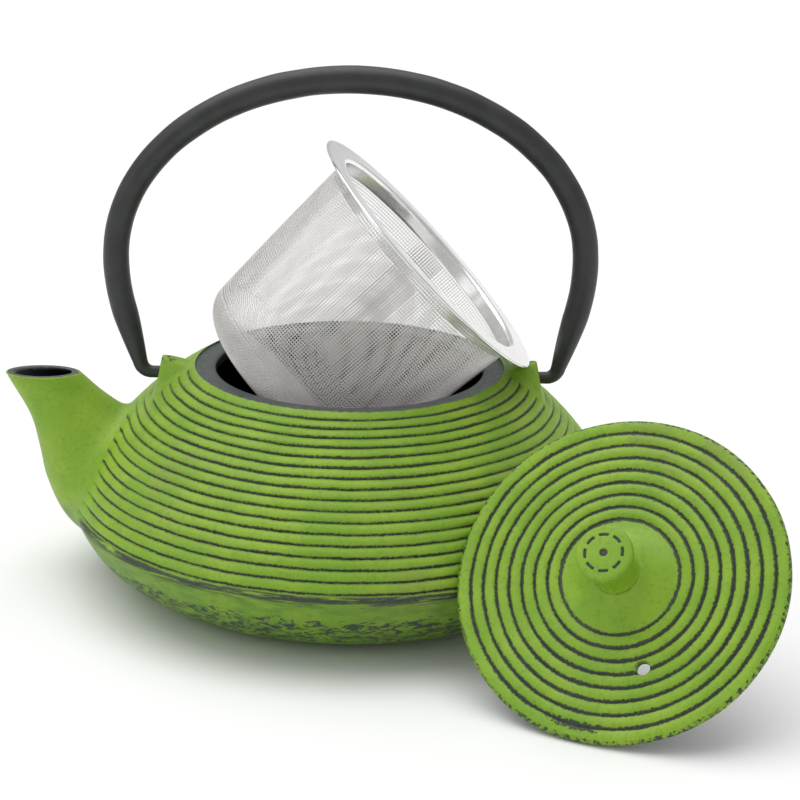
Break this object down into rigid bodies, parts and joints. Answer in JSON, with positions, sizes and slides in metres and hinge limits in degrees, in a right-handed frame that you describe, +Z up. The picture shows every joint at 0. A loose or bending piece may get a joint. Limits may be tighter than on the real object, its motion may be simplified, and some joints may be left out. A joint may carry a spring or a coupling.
{
  "type": "cast iron teapot",
  "caption": "Squat ribbed cast iron teapot with bail handle, lift-off knobbed lid leaning beside it and a mesh tea infuser tilted in its mouth.",
  "frame": {"origin": "centre of the pot's flat foot, on the table", "axes": "+Z up; -X towards the spout; +X towards the far lug; -Y towards the front, where the lid leans"},
  "size_m": [0.2339, 0.2218, 0.1659],
  "materials": {
    "green_iron": "satin green paint, rubbed to dark iron in the grooves and along the edges",
    "black_bar": "satin charcoal enamel",
    "steel_sheet": "polished stainless steel",
    "steel_mesh": "woven stainless steel wire"
  },
  "bodies": {
    "pot": {"pot_casting": "green_iron"},
    "bail": {"bail_handle": "black_bar"},
    "infuser": {"infuser_flange": "steel_sheet", "infuser_wall_mesh": "steel_mesh", "infuser_base_mesh": "steel_mesh"},
    "lid": {"lid_plate": "green_iron", "lid_knob": "green_iron"}
  },
  "joints": [
    {"name": "bail_swing", "type": "hinge", "parent": "pot", "child": "bail", "pos_m": [0, 0, 0.0665], "axis": [1, 0, 0], "range_deg": [-104, 72]},
    {"name": "infuser_lift", "type": "slide", "parent": "pot", "child": "infuser", "axis": [0, 0, 1], "range_m": [0, 0.014]},
    {"name": "lid_lift", "type": "slide", "parent": "pot", "child": "lid", "axis": [-0.3315, -0.698, 0.6347], "range_m": [0, 0.06]}
  ]
}
